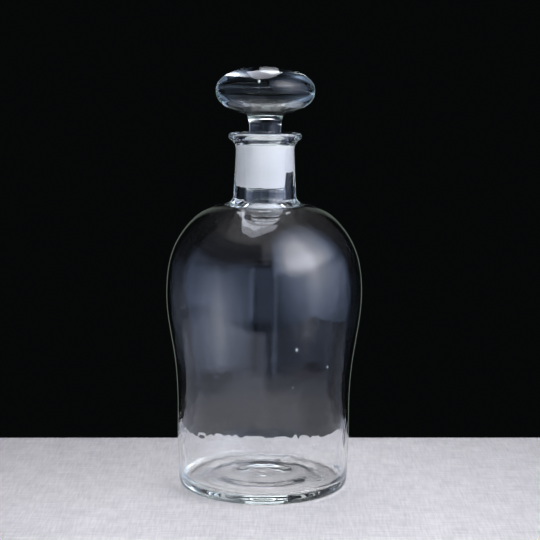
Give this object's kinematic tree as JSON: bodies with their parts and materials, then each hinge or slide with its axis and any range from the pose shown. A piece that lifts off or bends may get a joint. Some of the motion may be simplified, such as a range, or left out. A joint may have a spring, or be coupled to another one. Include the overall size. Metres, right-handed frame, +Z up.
{
  "type": "wine decanter",
  "caption": "Blown clear glass decanter with a domed shoulder, waisted body, thick neck with a rolled lip, and a solid flattened-knob stopper seated in a frosted ground taper.",
  "frame": {"origin": "centre of the foot ring, on the table", "axes": "+Z up along the bottle's axis of revolution, from the foot to the knob; X and Y level"},
  "size_m": [0.1102, 0.1102, 0.2372],
  "materials": {
    "bottle_glass": "fire-polished clear blown glass with a faint green tint in thick edges; the taper inside the neck is ground matte white",
    "stopper_glass": "polished clear solid glass; the tapered plug is ground matte white"
  },
  "bodies": {
    "bottle": {"bottle": "bottle_glass"},
    "stopper": {"stopper": "stopper_glass"}
  },
  "joints": [
    {"name": "stopper_lift", "type": "slide", "parent": "bottle", "child": "stopper", "axis": [0, 0, 1], "range_m": [0, 0.06]}
  ]
}
